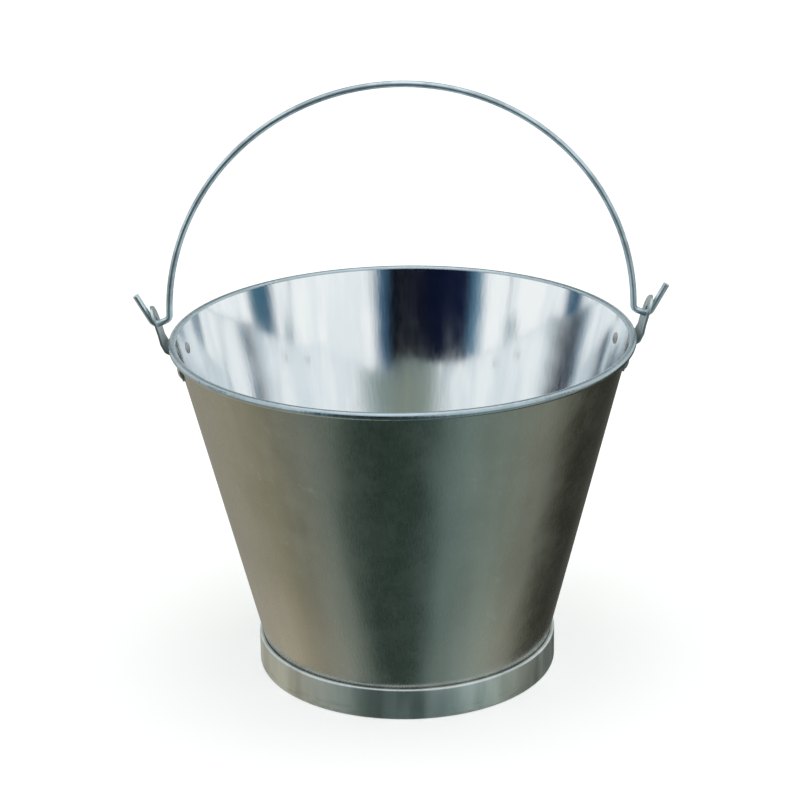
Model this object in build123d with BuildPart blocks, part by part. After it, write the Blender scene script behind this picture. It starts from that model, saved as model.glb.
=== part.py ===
from build123d import *
from math import acos, asin, atan2, cos, degrees, hypot, radians, sin, sqrt, tan
import os

# Feed bucket: a tapered steel pail with a wired rim, a seamed-in bottom, a foot ring, two riveted ears
# and a swinging wire bail. Origin on the floor under the centre of the bottom, +Z up, ears along X.
# Lengths are millimetres and angles are degrees.

# Wall and rolled rim
sheet = 0.6  # thickness of the wall and bottom sheet
rim_radius = 160.0  # outermost radius of the rolled rim
body_height = 241.8  # floor to the top of the rim
roll_radius = 2.6  # outer radius of the rolled tube
rim_wire_slack = 0.1  # gap between the rim wire and the sheet rolled round it
roll_end_gap = 0.05  # between the cut edge of the roll and the wall
lap_width = 12.0  # overlap of the sheet's two ends, at the back
lap_margin = 1.5  # from the lap's ends to the rim roll and to the foot ring

# Foot ring
foot_radius = 105.6
foot_height = 22.5
foot_sheet = 0.8
foot_stand_off = 2.9  # from the wall to the ring's outer face, at the ring's top
foot_skirt = 7.0  # height of the leg that is welded to the wall
hem_height = 5.0
hem_gap = 0.2  # between the two layers of the hem

# Bottom
bottom_height = 12.0  # floor to the underside of the bottom
flange_depth = 7.0  # depth of the bottom's turned-down flange
fold_height = 4.4  # height of the wall's edge folded up behind the flange
fold_radius = 0.5  # bend radius of the fold, on the middle of the sheet
fold_gap = 0.4  # under the flange's edge, inside the fold
corner_radius = 1.6
dish_rise = 2.0
dish_run = 4.0  # width of the step up to the raised middle
dish_border = 16.0  # flat ring round the raised middle

# Bail
bail_wire_radius = 2.2
bow_inset = 1.5  # the bow's wire centre inside the rim's outermost radius
pivot_rise = 10.3  # pivot line above the rim's top
bow_rise = 3.7  # centre of the bow above the pivot line
kink_rise = 6.1  # centre of the kink's bend above the pivot line
bend_inside = 2.3  # inside radius of the kink's and the hook's bends
prong_angle = 61.0  # from level
prong_length = 20.4

# Ears
ear_sheet = 1.5
ear_stand_off = 3.8  # from the rim to the ear's back face
ear_elbow_drop = 1.0  # elbow below the rim's top
ear_jog = (2.6, 5.4)  # in and down, from the elbow to the corner under the rim
ear_bend_drop = 5.0  # bend below the pivot line
ear_lean = 12.0  # from upright, below the bend
ear_tip_lean = 16.0  # from upright, above the bend
ear_bend_radius = 3.0
ear_tip_radius = 11.0
ear_neck_width = 27.0
ear_foot_width = 64.0
ear_foot_height = 12.0
ear_foot_drop = 10.3  # top of the ear's foot below the rim's top
ear_corner = 5.0
hook_clearance = 0.4  # under the wire, in the ear's hole
hole_play = 1.6  # the hole's radius over the wire's
hook_inset = 0.3  # from the wire's lowest point out to the middle of the ear

# Rivets
rivet_spacing = 50.0
rivet_radius = 2.2
rivet_clearance = 0.05
rivet_head_radius = 4.5
rivet_head_height = 1.5
rivet_tail_radius = 4.0
rivet_tail_height = 1.2
rivet_edge = 0.25  # upright share of a head's height

# The wall's outer face: a straight cone through the foot's waist, just touching the inside of the rim roll.
waist_radius = foot_radius - foot_stand_off
roll_centre = (rim_radius - roll_radius, body_height - roll_radius)
to_roll = (roll_centre[0] - waist_radius, roll_centre[1] - foot_height)
taper = degrees(atan2(*to_roll) - asin((roll_radius - sheet) / hypot(*to_roll)))
level_sheet = sheet / cos(radians(taper))  # the wall's thickness measured level


def wall_outer(z):
    """Radius of the wall's outer face at a height."""
    return waist_radius + (z - foot_height) * tan(radians(taper))


def wall_inner(z):
    """Radius of the wall's inner face at a height."""
    return wall_outer(z) - level_sheet


def wall_middle(z):
    """Radius of the middle of the wall's sheet at a height."""
    return wall_outer(z) - level_sheet / 2


def polar(centre, radius, angle):
    """Point on a circle, at an angle from the level."""
    return (centre[0] + radius * cos(radians(angle)), centre[1] + radius * sin(radians(angle)))


def dome_radius(reach, rise):
    """Radius of the sphere under a round cap of this reach and rise."""
    return (reach**2 + rise**2) / (2 * rise)


def finish(piece, name):
    """Label a finished piece and write it out."""
    piece.part.label = name
    export_step(piece.part, f"parts/{name}.step")


os.makedirs("parts", exist_ok=True)

# Places and sizes that several pieces share
bail_radius = rim_radius - bow_inset
wire_bend = bail_wire_radius + bend_inside
hole_radius = bail_wire_radius + hole_play
flange_foot = bottom_height + sheet - flange_depth
pivot_z = body_height + pivot_rise
hole_z = pivot_z - bail_wire_radius - hook_clearance + hole_radius
rivet_z = body_height - ear_foot_drop - ear_foot_height / 2


def rivet_seat(side, hand):
    """Plane on the wall's outer face at a rivet, facing out of the wall."""
    reach = wall_outer(rivet_z)
    turn = asin(hand * rivet_spacing / 2 / reach)
    out = Vector(side * cos(turn), sin(turn), 0)
    return Plane(
        origin=out * reach + Vector(0, 0, rivet_z),
        x_dir=Vector(-out.Y, out.X, 0),
        z_dir=out * cos(radians(taper)) - Vector(0, 0, sin(radians(taper))),
    )


seats = {
    (side, hand): rivet_seat(side, hand) for side in (-1, 1) for hand in (-1, 1)
}

# The sheet's outer end, lapped over the inner end down the back
with BuildPart() as lap:
    lap_low = foot_height + lap_margin
    lap_high = body_height - 2 * roll_radius - lap_margin
    with BuildSketch(Plane.XZ):
        Polygon(
            (wall_outer(lap_low), lap_low),
            (wall_outer(lap_low) + level_sheet, lap_low),
            (wall_outer(lap_high) + level_sheet, lap_high),
            (wall_outer(lap_high), lap_high),
            align=None,
        )
    revolve(axis=Axis.Z)
    with BuildSketch(Plane.XY):
        with Locations((0, rim_radius / 2)):
            Rectangle(lap_width, rim_radius)
    extrude(amount=body_height, mode=Mode.INTERSECT)

# Wall: one sheet, folded in under the bottom's flange and rolled outward at the rim
with BuildPart() as bucket_wall:
    fold_top = flange_foot + fold_height
    fold_foot = flange_foot - fold_gap - sheet / 2
    roll_start = 180 - taper
    roll_end = -taper - degrees(acos((sheet + roll_end_gap - roll_radius) / roll_radius))
    with BuildSketch(Plane.XZ):
        with BuildLine():
            FilletPolyline(
                (wall_middle(fold_top) - 2 * level_sheet, fold_top),
                (wall_middle(fold_foot) - 2 * level_sheet, fold_foot),
                (wall_middle(fold_foot), fold_foot),
                polar(roll_centre, roll_radius - sheet / 2, roll_start),
                radius=fold_radius,
            )
            CenterArc(roll_centre, roll_radius - sheet / 2, roll_start, roll_end - roll_start)
        trace(line_width=sheet)
    revolve(axis=Axis.Z)
    add(lap.part)
    for seat in seats.values():
        with BuildSketch(seat):
            Circle(rivet_radius + rivet_clearance)
        extrude(amount=3 * sheet, both=True, mode=Mode.SUBTRACT)
finish(bucket_wall, "bucket_wall")

# Wire that stiffens the rim, closed inside the roll
with BuildPart() as rim_wire:
    with BuildSketch(Plane.XZ):
        with Locations(roll_centre):
            Circle(roll_radius - sheet - rim_wire_slack)
    revolve(axis=Axis.Z)
finish(rim_wire, "rim_wire")

# Bottom: a pressed disc with a raised middle and a flange turned down against the wall
with BuildPart() as bottom_pan:
    bottom_middle = bottom_height + sheet / 2
    flange_middle = wall_middle(bottom_middle) - level_sheet
    dish_radius = flange_middle - dish_border - dish_run
    with BuildSketch(Plane.XZ):
        with BuildLine():
            FilletPolyline(
                (0, bottom_middle + dish_rise),
                (dish_radius, bottom_middle + dish_rise),
                (dish_radius + dish_run, bottom_middle),
                (flange_middle, bottom_middle),
                (wall_middle(flange_foot) - level_sheet, flange_foot),
                radius=corner_radius,
            )
        trace(line_width=sheet)
    revolve(axis=Axis.Z)
finish(bottom_pan, "bottom_pan")

# Foot ring: an upright band, hemmed at the floor and rolled over at the top into a leg on the wall
with BuildPart() as foot_ring:
    lean = radians(taper)
    half = foot_sheet / 2
    band_room = foot_radius - half - wall_outer(foot_height - half)
    bend = (band_room * cos(lean) - half) / (1 + cos(lean) - sin(lean))
    bend_centre = (foot_radius - half - bend, foot_height - half - bend)
    skirt_foot = foot_height - foot_skirt
    hem_middle = foot_radius - half - foot_sheet - hem_gap
    with BuildSketch(Plane.XZ):
        with BuildLine():
            Polyline(
                (hem_middle, hem_height),
                (hem_middle, half),
                (foot_radius - half, half),
                (foot_radius - half, bend_centre[1]),
            )
            CenterArc(bend_centre, bend, 0, 180 - taper)
            Line(
                polar(bend_centre, bend, 180 - taper),
                (wall_outer(skirt_foot) + half / cos(lean), skirt_foot),
            )
        trace(line_width=foot_sheet)
    revolve(axis=Axis.Z)
finish(foot_ring, "foot_ring")

# Ears: a foot on the wall, a jog out past the rim and a round-topped lug with the bail's hole
ear_lift = ear_sheet / 2 / cos(radians(taper))
elbow = (rim_radius + ear_stand_off + ear_sheet / 2, body_height - ear_elbow_drop)
bend_z = pivot_z - ear_bend_drop
bend_x = elbow[0] + (bend_z - elbow[1]) * tan(radians(ear_lean))
tip_z = hole_z + 2 * ear_tip_radius
tip_x = bend_x + (tip_z - bend_z) * tan(radians(ear_tip_lean))
ear_foot_top = body_height - ear_foot_drop
ear_foot_low = ear_foot_top - ear_foot_height

for side, name in ((-1, "ear_left"), (1, "ear_right")):
    with BuildPart() as ear:
        with BuildSketch(Plane.XZ):
            with BuildLine():
                FilletPolyline(
                    (wall_outer(ear_foot_low) + ear_lift, ear_foot_low),
                    (wall_outer(ear_foot_top) + ear_lift, ear_foot_top),
                    (elbow[0] - ear_jog[0], elbow[1] - ear_jog[1]),
                    elbow,
                    (bend_x, bend_z),
                    (tip_x, tip_z),
                    radius=ear_bend_radius,
                )
            trace(line_width=ear_sheet)
        revolve(axis=Axis.Z)
        with BuildSketch(Plane.YZ) as outline:
            with Locations((0, hole_z)):
                Circle(ear_tip_radius)
            Polygon(
                (-ear_neck_width / 2, ear_foot_low + ear_foot_height / 2),
                (ear_neck_width / 2, ear_foot_low + ear_foot_height / 2),
                (ear_tip_radius, hole_z),
                (-ear_tip_radius, hole_z),
                align=None,
            )
            with Locations((0, ear_foot_low + ear_foot_height / 2)):
                RectangleRounded(ear_foot_width, ear_foot_height, ear_corner)
            with Locations((0, hole_z)):
                Circle(hole_radius, mode=Mode.SUBTRACT)
        extrude(amount=side * 2 * rim_radius, mode=Mode.INTERSECT)
        for hand in (-1, 1):
            with BuildSketch(seats[side, hand]):
                Circle(rivet_radius + rivet_clearance)
            extrude(amount=3 * ear_sheet, both=True, mode=Mode.SUBTRACT)
    finish(ear, name)

# Rivets: a domed head on the ear, a shank through ear and wall and a low tail inside the bucket
tail_lift = rivet_tail_radius**2 / (2 * wall_inner(rivet_z)) + rivet_clearance
hands = {-1: "front", 1: "rear"}
for (side, hand), seat in seats.items():
    with BuildPart() as rivet:
        section = Plane(origin=seat.origin, x_dir=seat.x_dir, z_dir=seat.x_dir.cross(seat.z_dir))
        head_seat = ear_sheet + rivet_clearance / 2
        head_top = head_seat + rivet_head_height
        tail_seat = -sheet - tail_lift
        tail_low = tail_seat - rivet_tail_height
        head_rise = (1 - rivet_edge) * rivet_head_height
        tail_rise = (1 - rivet_edge) * rivet_tail_height
        head_dome = dome_radius(rivet_head_radius, head_rise)
        tail_dome = dome_radius(rivet_tail_radius, tail_rise)
        head_angle = degrees(asin(rivet_head_radius / head_dome))
        tail_angle = degrees(asin(rivet_tail_radius / tail_dome))
        with BuildSketch(section):
            with BuildLine():
                Line((0, tail_low), (0, head_top))
                CenterArc((0, head_top - head_dome), head_dome, 90, -head_angle)
                Polyline(
                    (rivet_head_radius, head_top - head_rise),
                    (rivet_head_radius, head_seat),
                    (rivet_radius, head_seat),
                    (rivet_radius, tail_seat),
                    (rivet_tail_radius, tail_seat),
                    (rivet_tail_radius, tail_low + tail_rise),
                )
                CenterArc((0, tail_low + tail_dome), tail_dome, -90, tail_angle)
            make_face()
        revolve(axis=Axis(seat.origin, seat.z_dir))
    finish(rivet, f"rivet_{'left' if side < 0 else 'right'}_{hands[hand]}")

# Bail: a bow of round wire, kinked outward over each ear, through its hole and up into a cut prong
bow_centre = (0, pivot_z + bow_rise)
ear_middle = bend_x + (pivot_z - bend_z) * tan(radians(ear_tip_lean))
hook_centre = (ear_middle - hook_inset, pivot_z + wire_bend)
bow_end = degrees(asin((kink_rise - bow_rise) / (bail_radius + wire_bend)))
kink_centre = polar(bow_centre, bail_radius + wire_bend, bow_end)
dip = degrees(atan2(hook_centre[1] - kink_centre[1], hook_centre[0] - kink_centre[0]))
prong_root = polar(hook_centre, wire_bend, prong_angle - 90)
prong_tip = polar(prong_root, prong_length, prong_angle)

with BuildPart() as bail:
    with BuildLine(Plane.XZ) as centre_line:
        CenterArc(bow_centre, bail_radius, 90, bow_end - 90)
        CenterArc(kink_centre, wire_bend, bow_end + 180, dip - bow_end + 90)
        Line(polar(kink_centre, wire_bend, dip - 90), polar(hook_centre, wire_bend, dip - 90))
        CenterArc(hook_centre, wire_bend, dip - 90, prong_angle - dip)
        Line(prong_root, prong_tip)
    with BuildSketch(Plane(origin=(0, 0, bow_centre[1] + bail_radius), z_dir=(1, 0, 0))):
        Circle(bail_wire_radius)
    sweep(path=centre_line.wires()[0])
    mirror(about=Plane.YZ)
finish(bail, "bail")
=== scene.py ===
"""Feed bucket: a tinned steel pail with a rolled rim, a seamed-in bottom, a foot ring and a wire bail."""

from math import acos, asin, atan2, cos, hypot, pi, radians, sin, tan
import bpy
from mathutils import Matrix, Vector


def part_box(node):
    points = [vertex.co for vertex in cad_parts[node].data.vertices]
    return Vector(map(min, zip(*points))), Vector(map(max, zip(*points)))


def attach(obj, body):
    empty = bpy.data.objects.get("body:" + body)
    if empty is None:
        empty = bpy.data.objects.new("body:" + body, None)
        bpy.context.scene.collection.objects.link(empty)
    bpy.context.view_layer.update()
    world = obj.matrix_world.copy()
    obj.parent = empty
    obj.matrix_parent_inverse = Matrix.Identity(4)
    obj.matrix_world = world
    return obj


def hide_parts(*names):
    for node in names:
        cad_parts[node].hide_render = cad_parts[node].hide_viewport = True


bl_info = {
    "name": "Feed bucket",
    "version": (1, 0, 0),
    "blender": (4, 5, 0),
    "location": "View3D > Sidebar > Bucket",
    "description": "Builds the sheet, wire and plate pieces of a stable feed bucket round its frame",
    "category": "Add Mesh",
}

import bmesh
import bpy
from bpy.props import FloatProperty, FloatVectorProperty, IntProperty, PointerProperty
from bpy.types import Operator, Panel, PropertyGroup
from mathutils import Matrix, Quaternion, Vector

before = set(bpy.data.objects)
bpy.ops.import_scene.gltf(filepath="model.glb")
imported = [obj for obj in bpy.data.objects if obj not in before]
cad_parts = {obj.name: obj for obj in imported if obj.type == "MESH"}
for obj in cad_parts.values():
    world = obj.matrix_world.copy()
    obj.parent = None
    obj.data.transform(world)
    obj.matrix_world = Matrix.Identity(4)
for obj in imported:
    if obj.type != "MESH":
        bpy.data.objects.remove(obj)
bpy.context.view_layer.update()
wall_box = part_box("bucket_wall")
foot_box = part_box("foot_ring")

SIDES = {"left": -1, "right": 1}
HANDS = {"front": -1, "rear": 1}

WELD = 1e-6  # metres: points nearer than this are one point
MIRROR_WELD = 1e-5  # the same, where the bail's two halves meet
FACING = 0.5  # a face looks outward, or inward if negative, past this share
ROLL_REACH = 1.05  # how far out from its centre the rolled rim's own faces lie, in rolls
STRIP_SHARE = 0.6  # half the width of an ear's strip, as a share of its foot, before it is cut

# Steps in the arcs
ROLL_STEPS = 30
HEM_STEPS = 16
STRIP_STEPS = 24
LUG_STEPS = 40
PUNCH_SIDES = 48
TAIL_STEPS = 6
HEAD_STEPS = 8
BOW_STEPS = 72
BEND_STEPS = 14


def length(name, description, default):
    """A length in metres that a user may set."""
    return FloatProperty(
        name=name, description=description, default=default, min=0.0, precision=5, unit="LENGTH"
    )


def angle(name, description, degrees):
    """An angle that a user may set, given here in degrees."""
    return FloatProperty(
        name=name, description=description, default=radians(degrees), subtype="ANGLE"
    )


def count(name, description, default):
    """A number of faces or steps that a user may set."""
    return IntProperty(name=name, description=description, default=default, min=3, max=512)


def share(name, description, default):
    """A plain number that a user may set."""
    return FloatProperty(name=name, description=description, default=default, min=0.0)


def colour(name, description, default):
    """A colour that a user may set."""
    return FloatVectorProperty(
        name=name, description=description, default=default, size=3, min=0.0, max=1.0, subtype="COLOR"
    )


class WallSizes(PropertyGroup):
    """Sizes of the tapered wall and its rolled rim."""

    sheet: length("Sheet", "Thickness of the wall and bottom sheet", 0.0006)
    rim_radius: length("Rim radius", "Outermost radius of the rolled rim", wall_box[1].y)
    height: length("Height", "Floor to the top of the rim", wall_box[1].z)
    roll: length("Roll radius", "Outer radius of the rolled tube", 0.0026)
    roll_gap: length("Roll gap", "Between the cut edge of the roll and the wall", 0.00005)
    lap_width: length("Lap width", "Overlap of the sheet's two ends, at the back", 0.012)
    lap_margin: length("Lap margin", "From the lap's ends to the roll and the foot ring", 0.0015)
    facets: count("Facets", "Faces round the bucket", 256)


class BottomSizes(PropertyGroup):
    """Sizes of the pressed bottom and the fold that holds it."""

    height: length("Bottom height", "Floor to the underside of the bottom", 0.012)
    flange_depth: length("Flange depth", "Depth of the turned-down flange", 0.007)
    fold_height: length("Fold height", "Height of the wall's edge behind the flange", 0.0044)
    fold_radius: length("Fold radius", "Bend radius of the fold", 0.0005)
    fold_gap: length("Fold gap", "Under the flange's edge", 0.0004)
    corner: length("Corner radius", "Bend radius of the pressed steps", 0.0016)
    dish_rise: length("Dish rise", "Height of the raised middle", 0.002)
    dish_run: length("Dish run", "Width of the step up to the middle", 0.004)
    dish_border: length("Dish border", "Flat ring round the raised middle", 0.016)


class FootSizes(PropertyGroup):
    """Sizes of the foot ring."""

    radius: length("Foot radius", "Outer radius of the ring", foot_box[1].y)
    height: length("Foot height", "Height of the ring", 0.0225)
    sheet: length("Foot sheet", "Thickness of the ring's sheet", 0.0008)
    stand_off: length("Stand-off", "From the wall to the ring's face, at its top", 0.0029)
    skirt: length("Skirt", "Height of the leg on the wall", 0.007)
    hem_height: length("Hem height", "Height of the folded hem", 0.005)
    hem_gap: length("Hem gap", "Between the two layers of the hem", 0.0002)


class EarSizes(PropertyGroup):
    """Sizes of the two ears."""

    sheet: length("Ear sheet", "Thickness of the plate", 0.0015)
    stand_off: length("Stand-off", "From the rim to the ear's back", 0.0038)
    elbow_drop: length("Elbow drop", "Elbow below the rim's top", 0.001)
    jog_in: length("Jog in", "From the elbow in to the corner under the rim", 0.0026)
    jog_down: length("Jog down", "From the elbow down to that corner", 0.0054)
    bend_drop: length("Bend drop", "Bend below the pivot line", 0.005)
    lean: angle("Lean", "From upright, below the bend", 12.0)
    tip_lean: angle("Tip lean", "From upright, above the bend", 16.0)
    bend: length("Bend radius", "Radius of each bend", 0.003)
    tip: length("Tip radius", "Radius of the round top", 0.011)
    neck: length("Neck width", "Width where the neck leaves the foot", 0.027)
    foot_width: length("Foot width", "Width of the foot on the wall", 0.064)
    foot_height: length("Foot height", "Height of the foot on the wall", 0.012)
    foot_drop: length("Foot drop", "Top of the foot below the rim", 0.0103)
    corner: length("Corner radius", "Radius of the foot's corners", 0.005)
    hole: length("Hole radius", "Radius of the bail's hole", 0.0038)
    hole_clearance: length("Hole clearance", "Under the wire, in the hole", 0.0004)
    edge: length("Edge", "Width of the worn edges", 0.00025)


class RivetSizes(PropertyGroup):
    """Sizes of the four rivets."""

    spacing: length("Spacing", "Between an ear's two rivets", 0.05)
    radius: length("Shank radius", "Radius of the shank", 0.0022)
    clearance: length("Clearance", "Round the shank and under the heads", 0.00005)
    head: length("Head radius", "Radius of the domed head", 0.0045)
    head_height: length("Head height", "Height of the domed head", 0.0015)
    tail: length("Tail radius", "Radius of the tail inside the bucket", 0.004)
    tail_height: length("Tail height", "Height of the tail", 0.0012)
    edge_share: share("Edge share", "Upright share of a head's height", 0.25)
    facets: count("Facets", "Faces round a rivet", 32)


class BailSizes(PropertyGroup):
    """Sizes of the wire bail."""

    wire: length("Wire radius", "Radius of the wire", 0.0022)
    bow_inset: length("Bow inset", "The bow's centre line inside the rim's radius", 0.0015)
    pivot_rise: length("Pivot rise", "Pivot line above the rim's top", 0.0103)
    bow_rise: length("Bow rise", "Centre of the bow above the pivot line", 0.0037)
    kink_rise: length("Kink rise", "Centre of the kink's bend above the pivot line", 0.0061)
    bend: length("Bend radius", "Centre-line radius of the kink and the hook", 0.0045)
    prong_rise: angle("Prong rise", "The prong's angle from level", 61.0)
    prong: length("Prong length", "Straight length of the prong", 0.0204)
    hook_inset: length("Hook inset", "From the wire's lowest point to the ear's middle", 0.0003)
    cut: length("Cut edge", "Width of the edge round the cut ends", 0.0004)
    facets: count("Facets", "Faces round the wire", 20)


class Finishes(PropertyGroup):
    """Colours of the metals."""

    bright: colour("Bright tin", "Clean tin inside the bucket", (0.93, 0.95, 0.96))
    # Darker colour of the upright streaks inside: partly the tin's burnish, partly painted reflection of
    # the soft box's bands
    bright_streak_and_reflection: colour("Bright tin, shaded", "Dull streaks inside the bucket", (0.82, 0.87, 0.90))
    dull: colour("Dull tin", "Weathered tin outside", (0.50, 0.53, 0.50))
    # Also the darker end of the outside's upright bands, which are partly painted reflection of the soft
    # box's bands
    dull_shade: colour("Dull tin, shaded", "Darker blotches outside", (0.36, 0.38, 0.35))
    # Painted reflection of the pale floor, mixed into the outside of the wall low down
    dull_floor_reflection: colour("Dull tin, low down", "Paler tin near the foot ring", (0.84, 0.80, 0.76))
    bottom: colour("Bottom", "Scoured tin of the bottom", (0.70, 0.73, 0.74))
    bottom_shade: colour("Bottom, shaded", "Dull clouds on the bottom", (0.56, 0.59, 0.59))
    foot: colour("Foot ring", "The foot ring's tin", (0.74, 0.80, 0.80))
    foot_shade: colour("Foot ring, shaded", "Dull patches on the foot ring", (0.54, 0.59, 0.58))
    rim: colour("Rolled rim", "Handled metal of the rim", (0.46, 0.55, 0.61))
    zinc: colour("Zinc", "Galvanised wire", (0.66, 0.78, 0.84))
    zinc_shade: colour("Zinc, shaded", "Dull patches on the wire", (0.42, 0.51, 0.56))
    plate: colour("Plate", "The ears' plate", (0.55, 0.62, 0.62))
    rivet: colour("Rivet", "Set rivets", (0.70, 0.75, 0.77))


class StageSettings(PropertyGroup):
    """The floor, the light and the camera."""

    floor: length("Floor", "Width of the floor", 60.0)
    light: share("Light", "Strength of the soft box round the bucket", 1.0)
    distance: length("Camera distance", "From the bucket's axis to the camera, along the floor", 1.47238)
    camera_height: length("Camera height", "Height of the camera", 0.73442)
    aim: length("Aim height", "Height on the axis that the camera looks at", 0.19228)
    turn: angle("Camera turn", "From the bucket's front, towards its left", 1.2)
    roll: angle("Camera roll", "Tilt of the picture", -0.92)
    lens: FloatProperty(
        name="Lens", description="Focal length on a 36 mm sensor", default=101.9, unit="CAMERA"
    )
    shift: FloatProperty(
        name="Shift", description="Sideways shift of the picture, as a share of it", default=-0.0043
    )


class BucketSettings(PropertyGroup):
    """Every size and colour of the bucket."""

    wall: PointerProperty(type=WallSizes)
    bottom: PointerProperty(type=BottomSizes)
    foot: PointerProperty(type=FootSizes)
    ear: PointerProperty(type=EarSizes)
    rivet: PointerProperty(type=RivetSizes)
    bail: PointerProperty(type=BailSizes)
    finish: PointerProperty(type=Finishes)
    stage: PointerProperty(type=StageSettings)


# Places that several pieces share


class WallLine:
    """The wall's straight cone, which the foot ring, the bottom and the ears sit on."""

    def __init__(self, settings):
        wall, foot = settings.wall, settings.foot
        self.waist = (foot.radius - foot.stand_off, foot.height)
        self.roll_centre = (wall.rim_radius - wall.roll, wall.height - wall.roll)
        across = self.roll_centre[0] - self.waist[0]
        up = self.roll_centre[1] - self.waist[1]
        self.taper = atan2(across, up) - asin((wall.roll - wall.sheet) / hypot(across, up))
        self.level_sheet = wall.sheet / cos(self.taper)

    def outer(self, z):
        """Radius of the outer face at a height."""
        return self.waist[0] + (z - self.waist[1]) * tan(self.taper)

    def inner(self, z):
        """Radius of the inner face at a height."""
        return self.outer(z) - self.level_sheet

    def middle(self, z):
        """Radius of the middle of the sheet at a height."""
        return self.outer(z) - self.level_sheet / 2


def pivot_height(settings):
    """Height of the bail's pivot line."""
    return settings.wall.height + settings.bail.pivot_rise


def hole_height(settings):
    """Height of the centre of the bail's hole in an ear."""
    return (
        pivot_height(settings)
        - settings.bail.wire
        - settings.ear.hole_clearance
        + settings.ear.hole
    )


def rivet_seat(settings, side, hand):
    """Matrix that stands a rivet on the wall, its own +Z out of the wall."""
    line = WallLine(settings)
    z = settings.wall.height - settings.ear.foot_drop - settings.ear.foot_height / 2
    reach = line.outer(z)
    turn = asin(hand * settings.rivet.spacing / 2 / reach)
    out = Vector((side * cos(turn), sin(turn), 0.0))
    normal = out * cos(line.taper) - Vector((0.0, 0.0, sin(line.taper)))
    along = Vector((-out.y, out.x, 0.0))
    axes = Matrix((along, normal.cross(along), normal)).transposed().to_4x4()
    return Matrix.Translation(out * reach + Vector((0.0, 0.0, z))) @ axes


# Outlines, as points in the upright plane through the bucket's axis


def point(x, z):
    """A point of an outline."""
    return Vector((x, 0.0, z))


def polar(centre, radius, turn):
    """A point on a circle, at an angle from level."""
    return point(centre[0] + radius * cos(turn), centre[1] + radius * sin(turn))


def arc(centre, radius, start, end, steps):
    """Points along an arc, with its two ends."""
    return [polar(centre, radius, start + (end - start) * k / steps) for k in range(steps + 1)]


def rounded(corners, radius, steps=5):
    """Points along straight runs through corners, with each inner corner turned as an arc."""
    path = [corners[0]]
    for before, corner, after in zip(corners, corners[1:], corners[2:]):
        back = (before - corner).normalized()
        ahead = (after - corner).normalized()
        half = back.angle(ahead) / 2
        centre = corner + (back + ahead).normalized() * radius / sin(half)
        spoke = corner + back * radius / tan(half) - centre
        axis = back.cross(spoke)
        path += [
            centre + Quaternion(axis, (pi - 2 * half) * k / steps) @ spoke for k in range(steps + 1)
        ]
    return path + [corners[-1]]


# Hand work: each step starts with nothing selected and leaves the piece active, in object mode


def edit(select="VERT"):
    """Enter edit mode with one kind of element to select."""
    bpy.ops.object.mode_set(mode="EDIT")
    bpy.ops.mesh.select_mode(type=select)


def leave():
    """Back to object mode."""
    bpy.ops.object.mode_set(mode="OBJECT")


def take(piece):
    """Make one object the only one selected, and active."""
    bpy.ops.object.select_all(action="DESELECT")
    piece.select_set(True)
    bpy.context.view_layer.objects.active = piece


def name_new(name):
    """Name the object that was just added, and put its place into its mesh."""
    piece = bpy.context.object
    piece.name = piece.data.name = name
    bpy.ops.object.transform_apply(location=True, rotation=True, scale=True)
    return piece


def draw(name, points):
    """A line of edges through points, drawn by extruding one vertex. Left in edit mode."""
    bpy.ops.object.select_all(action="DESELECT")
    bpy.ops.mesh.primitive_plane_add(size=0.001, location=points[0])
    piece = name_new(name)
    edit()
    bpy.ops.mesh.select_all(action="SELECT")
    bpy.ops.mesh.merge(type="CENTER")
    for here, there in zip(points, points[1:]):
        bpy.ops.mesh.extrude_vertices_move(TRANSFORM_OT_translate={"value": there - here})
    return piece


def close_shell():
    """Merge doubled points and turn every face outward, in edit mode."""
    bpy.ops.mesh.select_all(action="SELECT")
    bpy.ops.mesh.remove_doubles(threshold=WELD)
    bpy.ops.mesh.normals_make_consistent(inside=False)


def lathe(name, outline, facets):
    """Turn an outline round the bucket's axis."""
    piece = draw(name, outline)
    bpy.ops.mesh.select_all(action="SELECT")
    bpy.ops.mesh.spin(steps=facets, angle=2 * pi, center=(0, 0, 0), axis=(0, 0, 1))
    close_shell()
    leave()
    return piece


def apply_modifier(piece, kind, **values):
    """Add a modifier with these values and apply it."""
    take(piece)
    modifier = piece.modifiers.new(kind.title(), kind)
    for key, value in values.items():
        setattr(modifier, key, value)
    bpy.ops.object.modifier_apply(modifier=modifier.name)


def thicken(piece, sheet):
    """Give a middle surface the thickness of its sheet, half to each side."""
    apply_modifier(piece, "SOLIDIFY", thickness=sheet, offset=0.0, use_even_offset=True)


def cut_with(piece, tool, how):
    """Intersect or subtract a tool, which is then thrown away."""
    apply_modifier(piece, "BOOLEAN", object=tool, operation=how, solver="EXACT")
    bpy.data.objects.remove(tool)


def pick_faces(test):
    """In edit mode, select the faces whose centre and normal pass a test."""
    bpy.ops.mesh.select_mode(type="FACE")
    bpy.ops.mesh.select_all(action="DESELECT")
    mesh = bmesh.from_edit_mesh(bpy.context.object.data)
    found = [face for face in mesh.faces if test(face.calc_center_median(), face.normal)]
    for face in found:
        face.select_set(True)
    bmesh.update_edit_mesh(bpy.context.object.data)
    if not found:
        raise RuntimeError("no face of " + bpy.context.object.name + " is where it should be")


def outward(centre, normal):
    """How far a face looks away from the bucket's axis, from -1 to 1."""
    return Vector((centre.x, centre.y, 0.0)).normalized().dot(normal)


def hand_over(piece, body, nodes, materials, sharp=35.0):
    """Smooth a finished piece, give it its metals and let it stand for its CAD nodes."""
    take(piece)
    bpy.ops.object.shade_smooth_by_angle(angle=radians(sharp))
    for material in materials:
        if material.name not in piece.data.materials:
            piece.data.materials.append(material)
    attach(piece, body)
    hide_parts(*nodes)


# Metals


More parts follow.
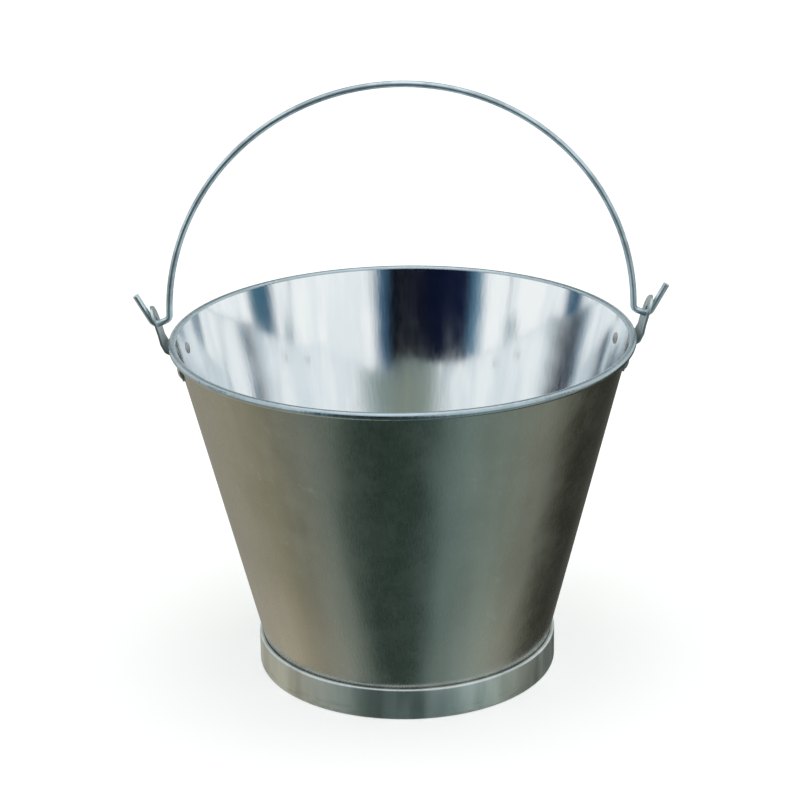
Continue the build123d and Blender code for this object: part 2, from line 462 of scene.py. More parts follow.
class NodeTree:
    """Short ways to add and join the nodes of a material or of the world."""

    def __init__(self, owner):
        owner.use_nodes = True
        self.nodes = owner.node_tree.nodes
        self.links = owner.node_tree.links

    def add(self, kind, **values):
        """A new node, with its own values set."""
        node = self.nodes.new("ShaderNode" + kind)
        for key, value in values.items():
            setattr(node, key, value)
        return node

    def join(self, source, target):
        """Link an output, or set a plain value."""
        if isinstance(source, bpy.types.NodeSocket):
            self.links.new(source, target)
        else:
            target.default_value = source

    def math(self, operation, *values, clamp=False):
        """A sum on one to three numbers."""
        node = self.add("Math", operation=operation, use_clamp=clamp)
        for socket, value in zip(node.inputs, values):
            self.join(value, socket)
        return node.outputs[0]

    def span(self, value, low, high, to_low=0.0, to_high=1.0):
        """A number carried from one range to another, smoothly, and held at its ends."""
        node = self.add("MapRange", interpolation_type="SMOOTHSTEP")
        for socket, number in zip(node.inputs, (value, low, high, to_low, to_high)):
            self.join(number, socket)
        return node.outputs[0]

    def scaled(self, vector, factors):
        """A vector with each part times its own factor."""
        node = self.add("VectorMath", operation="MULTIPLY")
        self.join(vector, node.inputs[0])
        node.inputs[1].default_value = factors
        return node.outputs[0]

    def noise(self, vector, scale, detail=2.0, roughness=0.5, distortion=0.0):
        """Smooth noise, from 0 to 1."""
        node = self.add("TexNoise")
        self.join(vector, node.inputs["Vector"])
        node.inputs["Scale"].default_value = scale
        node.inputs["Detail"].default_value = detail
        node.inputs["Roughness"].default_value = roughness
        node.inputs["Distortion"].default_value = distortion
        return node.outputs["Fac"]

    def blend(self, amount, low, high, how="MIX"):
        """One colour mixed into another."""
        node = self.add("Mix", data_type="RGBA", blend_type=how)
        self.join(amount, node.inputs[0])
        for value, socket in ((low, node.inputs[6]), (high, node.inputs[7])):
            flat = not isinstance(value, bpy.types.NodeSocket)
            self.join((*value, 1.0) if flat else value, socket)
        return node.outputs[2]


class Metal(NodeTree):
    """A new metal, and what its surface is made from."""

    def __init__(self, name, colour_value=(0.5, 0.5, 0.5)):
        self.material = bpy.data.materials.new(name)
        super().__init__(self.material)
        self.shader = self.nodes["Principled BSDF"]
        self.shader.inputs["Metallic"].default_value = 1.0
        self.material.diffuse_color = (*colour_value, 1.0)
        self.place = self.add("TexCoord").outputs["Object"]

    def round_place(self, up):
        """Place on the wall: the direction from the axis, and the height times a factor."""
        across = self.scaled(self.place, (1.0, 1.0, 0.0))
        direction = self.add("VectorMath", operation="NORMALIZE")
        self.join(across, direction.inputs[0])
        height = self.scaled(self.place, (0.0, 0.0, up))
        total = self.add("VectorMath", operation="ADD")
        self.join(direction.outputs[0], total.inputs[0])
        self.join(height, total.inputs[1])
        return total.outputs[0]

    def height(self):
        """Height above the floor."""
        parts = self.add("SeparateXYZ")
        self.join(self.place, parts.inputs[0])
        return parts.outputs["Z"]

    def bump(self, height, distance, strength=1.0, below=None):
        """Raise and sink the surface by up to a distance, over another bump."""
        node = self.add("Bump")
        node.inputs["Strength"].default_value = strength
        node.inputs["Distance"].default_value = distance
        self.join(height, node.inputs["Height"])
        if below:
            self.join(below, node.inputs["Normal"])
        return node.outputs["Normal"]

    def surface(self, colour_value, roughness, normal=None):
        """Send the three to the shader, and give back the finished material."""
        self.join(colour_value, self.shader.inputs["Base Color"])
        self.join(roughness, self.shader.inputs["Roughness"])
        if normal:
            self.join(normal, self.shader.inputs["Normal"])
        return self.material


def bright_tin(finish):
    """Inside of the bucket: clean tin with soft upright streaks and a few hair scratches; the darker
    streaks are partly the tin's burnish and partly painted reflection of the soft box's bands.
    """
    metal = Metal("bright_tin", finish.bright)
    streaks = metal.noise(metal.round_place(1.2), 7.0, detail=3.0)
    fine = metal.noise(metal.round_place(1.6), 60.0, detail=3.0)
    hair = metal.noise(metal.scaled(metal.place, (1.0, 1.0, 9.0)), 210.0, detail=2.0)
    scratched = metal.span(hair, 0.66, 0.74)
    # Painted reflection, in part: the upright streaks paint part of the soft box's reflected bands into
    # the base colour, besides the tin's own burnish
    colour_value = metal.blend(metal.span(streaks, 0.36, 0.6), finish.bright_streak_and_reflection, finish.bright)
    smooth = metal.span(streaks, 0.3, 0.7, 0.13, 0.07)
    roughness = metal.math("ADD", smooth, metal.span(fine, 0.3, 0.7, 0.0, 0.03))
    roughness = metal.math("MULTIPLY_ADD", scratched, 0.05, roughness)
    waves = metal.noise(metal.round_place(6.0), 3.2, detail=1.0)
    normal = metal.bump(waves, 0.0007)
    normal = metal.bump(fine, 0.00002, below=normal)
    normal = metal.bump(scratched, 0.000003, below=normal)
    return metal.surface(colour_value, roughness, normal)


def dull_tin(finish):
    """Outside of the wall: weathered tin in blotches, with soft upright bands that are partly painted
    reflection of the soft box, and a painted reflection of the pale floor low down.
    """
    metal = Metal("dull_tin", finish.dull)
    bands = metal.noise(metal.round_place(1.0), 3.4, detail=2.0)
    blotches = metal.noise(metal.place, 26.0, detail=4.0, roughness=0.6)
    grain = metal.noise(metal.round_place(2.5), 90.0, detail=3.0)
    # The soft upright bands are partly painted reflection of the soft box's bands; the blotches are the
    # tin's own tone
    shade = metal.span(bands, 0.35, 0.65, 0.0, 0.5)
    shade = metal.math("ADD", shade, metal.span(blotches, 0.3, 0.7, 0.0, 0.5))
    colour_value = metal.blend(shade, finish.dull_shade, finish.dull)
    # Painted reflection of the pale floor: the outside turns paler towards the foot ring, below about
    # 0.12 m
    edge = metal.math("MULTIPLY_ADD", metal.math("SUBTRACT", blotches, 0.5), 0.05, metal.height())
    colour_value = metal.blend(metal.span(edge, 0.02, 0.12, 0.30, 0.0), colour_value, finish.dull_floor_reflection)
    worn = metal.noise(metal.place, 75.0, detail=5.0, roughness=0.7)
    colour_value = metal.blend(metal.span(worn, 0.6, 0.75, 0.0, 0.25), colour_value, finish.foot)
    roughness = metal.span(blotches, 0.3, 0.7, 0.20, 0.30)
    roughness = metal.math("ADD", roughness, metal.span(grain, 0.3, 0.7, 0.0, 0.06))
    waves = metal.noise(metal.round_place(5.0), 3.0, detail=1.0)
    normal = metal.bump(waves, 0.001)
    normal = metal.bump(grain, 0.00004, below=normal)
    return metal.surface(colour_value, roughness, normal)


def bottom_tin(finish):
    """Bottom: tin scoured by scoops, in cloudy patches with short fine scuffs."""
    metal = Metal("bottom_tin", finish.bottom)
    clouds = metal.noise(metal.place, 22.0, detail=4.0, roughness=0.6)
    scuffs = metal.noise(metal.scaled(metal.place, (1.0, 6.0, 1.0)), 120.0, detail=3.0)
    colour_value = metal.blend(metal.span(clouds, 0.35, 0.65), finish.bottom_shade, finish.bottom)
    roughness = metal.span(clouds, 0.3, 0.7, 0.34, 0.24)
    return metal.surface(colour_value, roughness, metal.bump(scuffs, 0.00003))


def foot_tin(finish):
    """Foot ring: paler dull tin with scuffs near the floor."""
    metal = Metal("foot_tin", finish.foot)
    bands = metal.noise(metal.round_place(2.0), 6.0, detail=3.0)
    scuffs = metal.noise(metal.scaled(metal.place, (1.0, 1.0, 6.0)), 60.0, detail=4.0, roughness=0.65)
    low = metal.span(metal.height(), 0.0, 0.012, 0.5, 0.0)
    shade = metal.span(bands, 0.3, 0.7)
    colour_value = metal.blend(shade, finish.foot_shade, finish.foot)
    scuffed = metal.math("MULTIPLY", metal.span(scuffs, 0.48, 0.62), low)
    colour_value = metal.blend(scuffed, colour_value, finish.dull_shade)
    roughness = metal.math("MULTIPLY_ADD", scuffed, 0.2, metal.span(bands, 0.3, 0.7, 0.36, 0.46))
    normal = metal.bump(scuffs, 0.00006)
    return metal.surface(colour_value, roughness, normal)


def rim_tin(finish):
    """Rolled rim: handled metal, a little brighter where hands and halters rub it."""
    metal = Metal("rim_tin", finish.rim)
    rub = metal.noise(metal.round_place(1.0), 11.0, detail=3.0)
    fine = metal.noise(metal.place, 160.0, detail=3.0)
    colour_value = metal.blend(metal.span(rub, 0.35, 0.65), finish.zinc_shade, finish.rim)
    rubbed = metal.span(rub, 0.3, 0.7, 0.30, 0.20)
    roughness = metal.math("ADD", rubbed, metal.span(fine, 0.3, 0.7, 0.0, 0.05))
    normal = metal.bump(metal.noise(metal.round_place(1.0), 28.0, detail=2.0), 0.0004)
    return metal.surface(colour_value, roughness, normal)


def zinc_wire(finish):
    """Galvanised wire: satin, in dull and bright patches, with drawing marks."""
    metal = Metal("zinc_wire", finish.zinc)
    patches = metal.noise(metal.place, 40.0, detail=4.0, roughness=0.6)
    spots = metal.noise(metal.place, 420.0, detail=3.0)
    colour_value = metal.blend(metal.span(patches, 0.35, 0.62), finish.zinc_shade, finish.zinc)
    colour_value = metal.blend(metal.span(spots, 0.6, 0.75, 0.0, 0.35), colour_value, finish.zinc_shade)
    roughness = metal.span(patches, 0.3, 0.7, 0.44, 0.32)
    normal = metal.bump(spots, 0.00005)
    return metal.surface(colour_value, roughness, normal)


def ear_plate(finish):
    """Stamped plate: satin, with rolling lines and rubbed patches."""
    metal = Metal("ear_plate", finish.plate)
    patches = metal.noise(metal.place, 90.0, detail=4.0, roughness=0.6)
    lines = metal.noise(metal.scaled(metal.place, (1.0, 8.0, 1.0)), 160.0, detail=3.0)
    colour_value = metal.blend(metal.span(patches, 0.35, 0.65), finish.zinc_shade, finish.plate)
    rolled = metal.span(lines, 0.3, 0.7, 0.0, 0.06)
    roughness = metal.math("ADD", metal.span(patches, 0.3, 0.7, 0.42, 0.30), rolled)
    normal = metal.bump(lines, 0.00003)
    return metal.surface(colour_value, roughness, normal)


def rivet_steel(finish):
    """Set rivets: plain steel with hammer dimples."""
    metal = Metal("rivet_steel", finish.rivet)
    patches = metal.noise(metal.place, 240.0, detail=3.0)
    dimples = metal.noise(metal.place, 520.0, detail=1.0)
    colour_value = metal.blend(metal.span(patches, 0.35, 0.65), finish.zinc_shade, finish.rivet)
    roughness = metal.span(patches, 0.3, 0.7, 0.5, 0.34)
    normal = metal.bump(dimples, 0.00012)
    return metal.surface(colour_value, roughness, normal)


def metal_named(name, settings):
    """One of the metals, made the first time it is asked for."""
    makers = {
        "bright_tin": bright_tin,
        "dull_tin": dull_tin,
        "bottom_tin": bottom_tin,
        "foot_tin": foot_tin,
        "rim_tin": rim_tin,
        "zinc_wire": zinc_wire,
        "ear_plate": ear_plate,
        "rivet_steel": rivet_steel,
    }
    return bpy.data.materials.get(name) or makers[name](settings.finish)


# Pieces


class BuildWall(Operator):
    """Roll the tapered wall with its rim, its bottom fold and the lap down its back"""

    bl_idname = "feed_bucket.wall"
    bl_label = "Wall"

    def execute(self, context):
        settings = context.scene.feed_bucket
        wall, bottom = settings.wall, settings.bottom
        line = WallLine(settings)
        outline = self.outline(wall, bottom, line)
        piece = lathe("wall_sheet", outline, wall.facets)
        thicken(piece, wall.sheet)
        self.add_lap(piece, settings, line)
        for name in ("dull_tin", "bright_tin", "rim_tin"):
            piece.data.materials.append(metal_named(name, settings))
        self.share_metals(piece, wall, line)
        hand_over(piece, "bucket", ["bucket_wall"], [])
        return {"FINISHED"}

    def outline(self, wall, bottom, line):
        """Middle of the sheet, from the fold at the bottom to the cut edge inside the roll."""
        flange_foot = bottom.height + wall.sheet - bottom.flange_depth
        fold_top = flange_foot + bottom.fold_height
        fold_foot = flange_foot - bottom.fold_gap - wall.sheet / 2
        inset = 2 * line.level_sheet
        roll = wall.roll - wall.sheet / 2
        start = pi - line.taper
        end = -line.taper - acos((wall.sheet + wall.roll_gap - wall.roll) / wall.roll)
        corners = [
            point(line.middle(fold_top) - inset, fold_top),
            point(line.middle(fold_foot) - inset, fold_foot),
            point(line.middle(fold_foot), fold_foot),
            polar(line.roll_centre, roll, start),
        ]
        return rounded(corners, bottom.fold_radius)[:-1] + arc(
            line.roll_centre, roll, start, end, ROLL_STEPS
        )

    def add_lap(self, piece, settings, line):
        """Raise the sheet's outer end, lapped over the inner end, down the back."""
        wall, foot = settings.wall, settings.foot
        low = foot.height + wall.lap_margin
        high = wall.height - 2 * wall.roll - wall.lap_margin
        half = wall.lap_width / 2
        take(piece)
        edit("FACE")

        def at_the_back(centre, normal):
            straight = foot.height / 2 < centre.z < high
            return straight and centre.y > abs(centre.x) and outward(centre, normal) > FACING

        def on_the_lap(centre, normal):
            return at_the_back(centre, normal) and abs(centre.x) < half and low < centre.z < high

        cuts = [((x, 0, 0), (1, 0, 0)) for x in (-half, half)]
        cuts += [((0, 0, z), (0, 0, 1)) for z in (low, high)]
        for place, normal in cuts:
            pick_faces(at_the_back)
            bpy.ops.mesh.bisect(plane_co=place, plane_no=normal)
        pick_faces(on_the_lap)
        bpy.ops.mesh.extrude_region_move(
            TRANSFORM_OT_translate={"value": (0, line.level_sheet, 0)}
        )
        leave()

    def share_metals(self, piece, wall, line):
        """Bright tin on the inner face, handled tin on the roll and dull tin on the rest."""
        take(piece)
        edit("FACE")
        roll_foot = wall.height - 2 * wall.roll
        pick_faces(lambda centre, normal: outward(centre, normal) < -FACING and centre.z < roll_foot)
        piece.active_material_index = 1
        bpy.ops.object.material_slot_assign()

        def on_the_roll(centre, normal):
            away = hypot(hypot(centre.x, centre.y) - line.roll_centre[0], centre.z - line.roll_centre[1])
            return away < wall.roll * ROLL_REACH

        pick_faces(on_the_roll)
        piece.active_material_index = 2
        bpy.ops.object.material_slot_assign()
        leave()


class BuildBottom(Operator):
    """Press the bottom, with its raised middle and its turned-down flange"""

    bl_idname = "feed_bucket.bottom"
    bl_label = "Bottom"

    def execute(self, context):
        settings = context.scene.feed_bucket
        wall, bottom = settings.wall, settings.bottom
        line = WallLine(settings)
        middle = bottom.height + wall.sheet / 2
        flange_foot = bottom.height + wall.sheet - bottom.flange_depth
        flange = line.middle(middle) - line.level_sheet
        dish = flange - bottom.dish_border - bottom.dish_run
        corners = [
            point(0, middle + bottom.dish_rise),
            point(dish, middle + bottom.dish_rise),
            point(dish + bottom.dish_run, middle),
            point(flange, middle),
            point(line.middle(flange_foot) - line.level_sheet, flange_foot),
        ]
        piece = lathe("bottom_dish", rounded(corners, bottom.corner), wall.facets)
        thicken(piece, wall.sheet)
        hand_over(
            piece, "bucket", ["bottom_pan"], [metal_named("bottom_tin", settings)]
        )
        return {"FINISHED"}


class BuildFoot(Operator):
    """Roll the foot ring, hemmed at the floor and turned over at the top on to the wall"""

    bl_idname = "feed_bucket.foot"
    bl_label = "Foot ring"

    def execute(self, context):
        settings = context.scene.feed_bucket
        foot = settings.foot
        line = WallLine(settings)
        half = foot.sheet / 2
        outer = foot.radius - half
        room = outer - line.outer(foot.height - half)
        bend = (room * cos(line.taper) - half) / (1 + cos(line.taper) - sin(line.taper))
        centre = (outer - bend, foot.height - half - bend)
        skirt_foot = foot.height - foot.skirt
        hem = foot.sheet + foot.hem_gap
        corners = [
            point(outer - hem, foot.hem_height),
            point(outer - hem, half),
            point(outer, half),
            point(outer, centre[1]),
        ]
        outline = rounded(corners, hem / 2)[:-1]
        outline += arc(centre, bend, 0, pi - line.taper, HEM_STEPS)
        outline += [point(line.outer(skirt_foot) + half / cos(line.taper), skirt_foot)]
        piece = lathe("foot_band", outline, settings.wall.facets)
        thicken(piece, foot.sheet)
        hand_over(piece, "bucket", ["foot_ring"], [metal_named("foot_tin", settings)])
        return {"FINISHED"}


class BuildRimWire(Operator):
    """Give the wire inside the rolled rim its metal"""

    bl_idname = "feed_bucket.rim_wire"
    bl_label = "Rim wire"

    def execute(self, context):
        settings = context.scene.feed_bucket
        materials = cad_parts["rim_wire"].data.materials
        materials.clear()
        materials.append(metal_named("zinc_wire", settings))
        return {"FINISHED"}


class BuildEars(Operator):
    """Stamp the two ears: a foot on the wall, a jog past the rim and a round lug with the bail's hole"""

    bl_idname = "feed_bucket.ears"
    bl_label = "Ears"

    def execute(self, context):
        settings = context.scene.feed_bucket
        ear = settings.ear
        for name, side in SIDES.items():
            piece = self.bent_plate("ear_plate_" + name, settings)
            cut_with(piece, self.blank(settings), "INTERSECT")
            if side < 0:
                take(piece)
                piece.rotation_euler.z = pi
                bpy.ops.object.transform_apply(location=False, rotation=True, scale=False)
            for tool in self.hole_tools(settings, side):
                cut_with(piece, tool, "DIFFERENCE")
            edit()
            close_shell()
            leave()
            apply_modifier(
                piece, "BEVEL", width=ear.edge, segments=2, limit_method="ANGLE",
                angle_limit=radians(40), use_clamp_overlap=True,
            )
            hand_over(
                piece, "bucket", ["ear_" + name], [metal_named("ear_plate", settings)]
            )
        return {"FINISHED"}

    def bent_plate(self, name, settings):
        """A wide strip of plate with the ear's bends, curved round the wall."""
        wall, ear = settings.wall, settings.ear
        line = WallLine(settings)
        lift = ear.sheet / 2 / cos(line.taper)
        foot_top = wall.height - ear.foot_drop
        foot_low = foot_top - ear.foot_height
        elbow = (wall.rim_radius + ear.stand_off + ear.sheet / 2, wall.height - ear.elbow_drop)
        bend_z = pivot_height(settings) - ear.bend_drop
        bend_x = elbow[0] + (bend_z - elbow[1]) * tan(ear.lean)
        tip_z = hole_height(settings) + 2 * ear.tip
        corners = [
            point(line.outer(foot_low) + lift, foot_low),
            point(line.outer(foot_top) + lift, foot_top),
            point(elbow[0] - ear.jog_in, elbow[1] - ear.jog_down),
            point(*elbow),
            point(bend_x, bend_z),
            point(bend_x + (tip_z - bend_z) * tan(ear.tip_lean), tip_z),
        ]
        reach = asin(ear.foot_width * STRIP_SHARE / line.outer(foot_low))
        piece = draw(name, rounded(corners, ear.bend))
        leave()
        piece.rotation_euler.z = -reach
        bpy.ops.object.transform_apply(location=False, rotation=True, scale=False)
        edit()
        bpy.ops.mesh.select_all(action="SELECT")
        bpy.ops.mesh.spin(steps=STRIP_STEPS, angle=2 * reach, center=(0, 0, 0), axis=(0, 0, -1))
        close_shell()
        leave()
        thicken(piece, ear.sheet)
        return piece

    def blank(self, settings):
        """The ear's flat outline, as a thick block across the right-hand plate."""
        wall, ear = settings.wall, settings.ear
        foot_top = wall.height - ear.foot_drop
        foot_low = foot_top - ear.foot_height
        hole_z = hole_height(settings)
        wide = ear.foot_width / 2
        root = foot_top - ear.foot_height / 2
        narrowing = (ear.neck / 2 - ear.tip) / (hole_z - root)
        neck = ear.neck / 2 - narrowing * (foot_top - root)
        right = rounded(
            [point(0, foot_low), point(wide, foot_low), point(wide, foot_top), point(neck, foot_top)],
            ear.corner,
        )
        outline = right + arc((0, hole_z), ear.tip, 0, pi, LUG_STEPS)
        outline += [point(-p.x, p.z) for p in reversed(right[1:])]
        piece = draw("ear_blank", outline)
        bpy.ops.mesh.select_all(action="SELECT")
        bpy.ops.mesh.edge_face_add()
        bpy.ops.mesh.extrude_region_move(TRANSFORM_OT_translate={"value": (0, wall.rim_radius, 0)})
        close_shell()
        leave()
        piece.rotation_euler.z = pi / 2
        piece.location.x = wall.rim_radius * 1.5
        bpy.ops.object.transform_apply(location=True, rotation=True, scale=False)
        return piece

    def hole_tools(self, settings, side):
        """Round bars for the bail's hole and the two rivet holes."""
        ear, rivet = settings.ear, settings.rivet
        reach = settings.wall.rim_radius
        bail_bar = Matrix.Translation((side * reach, 0, hole_height(settings)))
        bail_bar @= Matrix.Rotation(pi / 2, 4, "Y")
        bars = [(bail_bar, ear.hole, reach / 2)]
        bars += [
            (rivet_seat(settings, side, hand), rivet.radius + rivet.clearance, 6 * ear.sheet)
            for hand in HANDS.values()
        ]
        for place, radius, depth in bars:
            bpy.ops.object.select_all(action="DESELECT")
            bpy.ops.mesh.primitive_cylinder_add(vertices=PUNCH_SIDES, radius=radius, depth=depth)
            bpy.context.object.matrix_world = place
            yield name_new("ear_punch")


class BuildRivets(Operator):
    """Set the four rivets: a domed head on the ear, a shank and a low tail inside the bucket"""

    bl_idname = "feed_bucket.rivets"
    bl_label = "Rivets"

    def execute(self, context):
        settings = context.scene.feed_bucket
        pattern = lathe("rivet_pattern", self.outline(settings), settings.rivet.facets)
        apply_modifier(
            pattern, "BEVEL", width=settings.rivet.clearance * 3, segments=2,
            limit_method="ANGLE", angle_limit=radians(50),
        )
        for side_name, side in SIDES.items():
            for hand_name, hand in HANDS.items():
                name = f"{side_name}_{hand_name}"
                take(pattern)
                bpy.ops.object.duplicate()
                bpy.context.object.matrix_world = rivet_seat(settings, side, hand)
                piece = name_new("set_rivet_" + name)
                hand_over(
                    piece, "bucket", ["rivet_" + name],
                    [metal_named("rivet_steel", settings)],
                )
        bpy.data.objects.remove(pattern)
        return {"FINISHED"}

    def outline(self, settings):
        """Half of a rivet's section, from its tail to its head, standing on the wall's outer face."""
        rivet, sheet = settings.rivet, settings.wall.sheet
        line = WallLine(settings)
        height = settings.wall.height - settings.ear.foot_drop - settings.ear.foot_height / 2
        head_seat = settings.ear.sheet + rivet.clearance / 2
        tail_seat = -sheet - rivet.tail**2 / (2 * line.inner(height)) - rivet.clearance
        upright = 1 - rivet.edge_share
        head_rise = upright * rivet.head_height
        tail_rise = upright * rivet.tail_height
        head_dome = (rivet.head**2 + head_rise**2) / (2 * head_rise)
        tail_dome = (rivet.tail**2 + tail_rise**2) / (2 * tail_rise)
        head_top = head_seat + rivet.head_height
        tail_low = tail_seat - rivet.tail_height
        tail_turn = asin(rivet.tail / tail_dome)
        head_turn = asin(rivet.head / head_dome)
        return [
            *arc((0, tail_low + tail_dome), tail_dome, -pi / 2, tail_turn - pi / 2, TAIL_STEPS),
            point(rivet.tail, tail_seat),
            point(rivet.radius, tail_seat),
            point(rivet.radius, head_seat),
            point(rivet.head, head_seat),
            *arc((0, head_top - head_dome), head_dome, pi / 2 - head_turn, pi / 2, HEAD_STEPS),
        ]


class BuildBail(Operator):
    """Bend the bail: a bow of wire, kinked over each ear, through its hole and up into a cut prong"""

    bl_idname = "feed_bucket.bail"
    bl_label = "Bail"

    def execute(self, context):
        settings = context.scene.feed_bucket
        bail = settings.bail
        pivot = pivot_height(settings)
        bow = (0.0, pivot + bail.bow_rise)
        bow_radius = settings.wall.rim_radius - bail.bow_inset
        hook = (self.ear_middle(settings) - bail.hook_inset, pivot + bail.bend)
        bow_end = asin((bail.kink_rise - bail.bow_rise) / (bow_radius + bail.bend))
        kink = polar(bow, bow_radius + bail.bend, bow_end)
        kink = (kink.x, kink.z)
        dip = atan2(hook[1] - kink[1], hook[0] - kink[0])

        bpy.ops.object.select_all(action="DESELECT")
        bpy.ops.mesh.primitive_circle_add(
            vertices=bail.facets, radius=bail.wire, location=polar(bow, bow_radius, pi / 2),
            rotation=(0, pi / 2, 0),
        )
        piece = name_new("bail_wire")
        edit()
        self.bend_wire(bow, bow_end - pi / 2, BOW_STEPS)
        self.bend_wire(kink, dip - bow_end + pi / 2, BEND_STEPS)
        self.run_wire(point(*hook) - point(*kink))
        self.bend_wire(hook, bail.prong_rise - dip, BEND_STEPS)
        self.run_wire(polar((0, 0), bail.prong, bail.prong_rise))
        bpy.ops.mesh.edge_face_add()
        bpy.ops.mesh.bevel(offset=bail.cut, segments=3, affect="EDGES")
        close_shell()
        leave()
        apply_modifier(piece, "MIRROR", use_axis=(True, False, False), merge_threshold=MIRROR_WELD)
        hand_over(piece, "bail", ["bail"], [metal_named("zinc_wire", settings)])
        return {"FINISHED"}

    def ear_middle(self, settings):
        """How far out the middle of an ear's plate is at the pivot line."""
        wall, ear = settings.wall, settings.ear
        elbow_x = wall.rim_radius + ear.stand_off + ear.sheet / 2
        elbow_z = wall.height - ear.elbow_drop
        bend_z = pivot_height(settings) - ear.bend_drop
        return elbow_x + (bend_z - elbow_z) * tan(ear.lean) + ear.bend_drop * tan(ear.tip_lean)

    def bend_wire(self, centre, turn, steps):
        """Carry the wire's open end round a centre. A positive turn goes from level towards upright."""
        bpy.ops.mesh.spin(
            steps=steps, angle=turn, center=(centre[0], 0, centre[1]), axis=(0, 1, 0)
        )

    def run_wire(self, run):
        """Carry the wire's open end straight on."""
        bpy.ops.mesh.extrude_region_move(TRANSFORM_OT_translate={"value": run})


# Stage


class BuildStage(Operator):
    """Lay the pale floor and set the soft light and the camera"""

    bl_idname = "feed_bucket.stage"
    bl_label = "Stage"

    def execute(self, context):
        stage = context.scene.feed_bucket.stage
        self.lay_floor(stage)
        self.set_light(context.scene, stage)
        self.set_camera(context.scene, stage)
        context.scene.view_settings.view_transform = "Standard"
        return {"FINISHED"}

    def lay_floor(self, stage):
        """A pale floor, which the bucket's metal doesn't mirror."""
        bpy.ops.object.select_all(action="DESELECT")
        bpy.ops.mesh.primitive_plane_add(size=stage.floor)
        floor = name_new("floor")
        paper = Metal("floor_paper")
        paper.shader.inputs["Metallic"].default_value = 0.0
        paper.shader.inputs["Emission Color"].default_value = (1.0, 1.0, 1.0, 1.0)
        paper.shader.inputs["Emission Strength"].default_value = 0.35
        fibre = paper.noise(paper.place, 600.0, detail=2.0)
        paper.surface(paper.blend(fibre, (0.90, 0.90, 0.89), (0.93, 0.93, 0.92)), 0.9)
        floor.data.materials.append(paper.material)
        floor.visible_glossy = False

    def set_light(self, scene, stage):
        """A soft box all round, with a dark gap in front and a dim one behind. The camera sees white."""
        world = bpy.data.worlds.new("soft_box")
        scene.world = world
        room = NodeTree(world)
        way = room.add("TexCoord").outputs["Generated"]
        parts = room.add("SeparateXYZ")
        room.join(way, parts.inputs[0])
        turn = room.math("ARCTAN2", parts.outputs["X"], room.math("MULTIPLY", parts.outputs["Y"], -1.0))
        round_share = room.math("MULTIPLY_ADD", turn, 1 / (2 * pi), 0.5)
        level = self.ring(room, round_share, LEVEL_LIGHT)
        high = self.ring(room, round_share, HIGH_LIGHT)
        low = self.ring(room, round_share, LOW_LIGHT)
        up = parts.outputs["Z"]
        above = room.blend(self.rise(room, up, HIGH_FROM), level, high)
        top = room.blend(self.rise(room, up, TOP_FROM), above, TOP_LIGHT)
        every_way = room.blend(self.rise(room, up, LEVEL_FROM), low, top)
        back = room.nodes["Background"]
        seen = room.add("LightPath").outputs["Is Camera Ray"]
        room.join(room.blend(seen, every_way, (1.0, 1.0, 1.0)), back.inputs["Color"])
        back.inputs["Strength"].default_value = stage.light

    def rise(self, room, up, angles):
        """From 0 to 1 between two angles above level, in degrees."""
        return room.span(up, *(sin(radians(angle_above)) for angle_above in angles))

    def ring(self, room, round_share, stops):
        """Colours round the horizon, from their turns in degrees. 0 is the front and 90 the right."""
        ramp = room.add("ValToRGB")
        room.join(round_share, ramp.inputs["Fac"])
        ramp.color_ramp.interpolation = "LINEAR"
        elements = ramp.color_ramp.elements
        elements.remove(elements[1])
        for number, (turn, tone) in enumerate(stops):
            place = turn / 360 + 0.5
            element = elements.new(place) if number else elements[0]
            element.position = place
            element.color = (*tone, 1.0)
        return ramp.outputs["Color"]

    def set_camera(self, scene, stage):
        """The camera, in front and a little above."""
        eye = Vector((-sin(stage.turn), -cos(stage.turn), 0.0)) * stage.distance
        eye.z = stage.camera_height
        look = Vector((0.0, 0.0, stage.aim)) - eye
        bpy.ops.object.select_all(action="DESELECT")
        bpy.ops.object.camera_add(location=eye)
        camera = bpy.context.object
        camera.name = "camera"
        camera.rotation_mode = "QUATERNION"
        camera.rotation_quaternion = look.to_track_quat("-Z", "Y") @ Quaternion((0, 0, 1), stage.roll)
        camera.data.sensor_width = 36.0
        camera.data.lens = stage.lens
        camera.data.shift_x = stage.shift
        scene.camera = camera


# Angles above level, in degrees, between which one ring of light gives way to the next
LEVEL_FROM = (-9, -2)
HIGH_FROM = (24, 34)
TOP_FROM = (50, 66)
TOP_LIGHT = (1.25, 1.25, 1.25)

# Light round the bucket, as turns in degrees from its front and colours, from 9 degrees below
# level up to 24 above, higher than that, and towards the floor
WHITE = (0.90, 0.92, 0.92)
LEVEL_LIGHT = (
    (-180, (0.55, 0.58, 0.58)),
    (-125, WHITE),
    (-110, WHITE),
    (-106, (0.03, 0.10, 0.17)),
    (-98, (0.03, 0.10, 0.17)),
    (-94, WHITE),
    (-49, WHITE),
    (-44, (0.10, 0.22, 0.32)),
    (-36, (0.004, 0.008, 0.03)),
    (3, (0.001, 0.001, 0.003)),
    (10, (0.05, 0.12, 0.20)),
    (17, WHITE),
    (70, WHITE),
    (75, (0.03, 0.10, 0.17)),
    (83, (0.05, 0.14, 0.20)),
    (89, WHITE),
    (125, WHITE),
    (180, (0.55, 0.58, 0.58)),
)
HIGH_LIGHT = (
    (-180, (0.22, 0.25, 0.20)),
    (-150, (0.25, 0.30, 0.26)),
    (-125, WHITE),
    (-30, WHITE),
    (-22, (0.85, 0.90, 0.92)),
    (8, (0.85, 0.90, 0.92)),
    (16, WHITE),
    (125, WHITE),
    (150, (0.25, 0.30, 0.26)),
    (180, (0.22, 0.25, 0.20)),
)
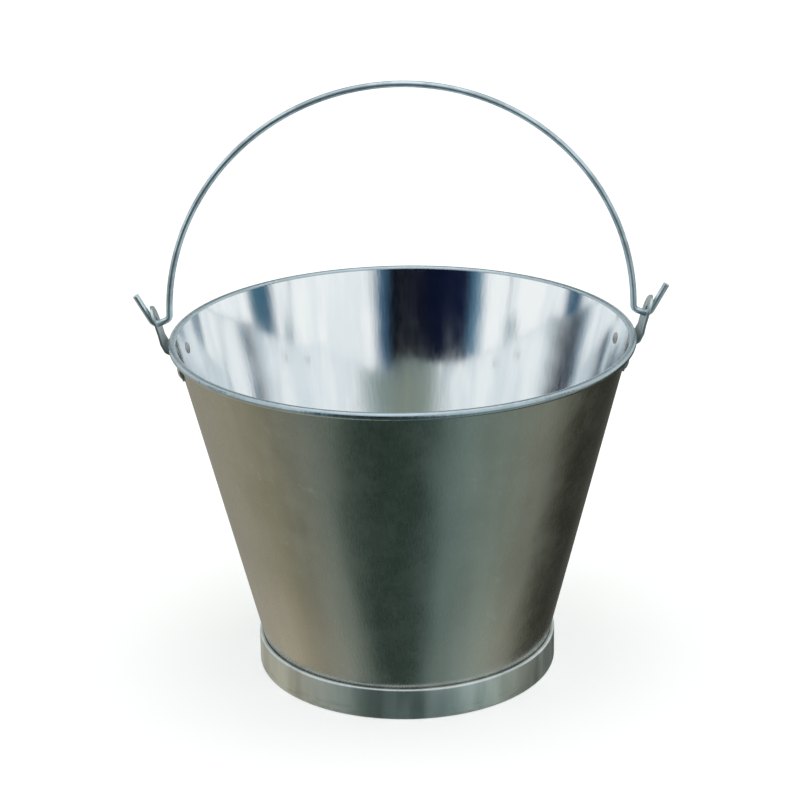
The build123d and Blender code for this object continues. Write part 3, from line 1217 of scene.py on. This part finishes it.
LOW_LIGHT = (
    (-180, (0.30, 0.30, 0.26)),
    (-130, (0.60, 0.54, 0.44)),
    (-104, (0.50, 0.44, 0.32)),
    (-84, (0.34, 0.32, 0.25)),
    (-68, (0.42, 0.43, 0.39)),
    (-54, (0.33, 0.38, 0.34)),
    (-40, (0.06, 0.10, 0.09)),
    (-22, (0.04, 0.064, 0.056)),
    (-4, (0.045, 0.068, 0.055)),
    (11, (0.045, 0.072, 0.064)),
    (24, (0.17, 0.24, 0.23)),
    (42, (0.30, 0.38, 0.37)),
    (58, (0.31, 0.39, 0.36)),
    (74, (0.42, 0.46, 0.40)),
    (94, (0.40, 0.39, 0.33)),
    (110, (0.14, 0.14, 0.11)),
    (122, (0.04, 0.04, 0.03)),
    (152, (0.05, 0.05, 0.04)),
    (180, (0.30, 0.30, 0.26)),
)


class BucketPanel(Panel):
    """The bucket's pieces and sizes, in the 3D view's sidebar"""

    bl_idname = "VIEW3D_PT_feed_bucket"
    bl_label = "Feed bucket"
    bl_space_type = "VIEW_3D"
    bl_region_type = "UI"
    bl_category = "Bucket"

    def draw(self, context):
        settings = context.scene.feed_bucket
        for operator in OPERATORS:
            self.layout.operator(operator.bl_idname)
        for group_name in ("wall", "bottom", "foot", "ear", "rivet", "bail", "finish", "stage"):
            box = self.layout.box()
            box.label(text=group_name.capitalize())
            group = getattr(settings, group_name)
            for size_name in group.bl_rna.properties.keys():
                if size_name not in ("rna_type", "name"):
                    box.prop(group, size_name)


GROUPS = (
    WallSizes, BottomSizes, FootSizes, EarSizes, RivetSizes, BailSizes, Finishes, StageSettings,
    BucketSettings,
)
OPERATORS = (
    BuildWall, BuildBottom, BuildFoot, BuildRimWire, BuildEars, BuildRivets, BuildBail, BuildStage,
)


def register():
    """Register every class and hang the settings on the scene."""
    for item in (*GROUPS, *OPERATORS, BucketPanel):
        bpy.utils.register_class(item)
    bpy.types.Scene.feed_bucket = PointerProperty(type=BucketSettings)


def unregister():
    """Undo register."""
    del bpy.types.Scene.feed_bucket
    for item in reversed((*GROUPS, *OPERATORS, BucketPanel)):
        bpy.utils.unregister_class(item)


def main():
    """Build every piece and the stage."""
    register()
    bpy.ops.feed_bucket.wall()
    bpy.ops.feed_bucket.bottom()
    bpy.ops.feed_bucket.foot()
    bpy.ops.feed_bucket.rim_wire()
    bpy.ops.feed_bucket.ears()
    bpy.ops.feed_bucket.rivets()
    bpy.ops.feed_bucket.bail()
    bpy.ops.feed_bucket.stage()


if __name__ == "__main__":
    main()
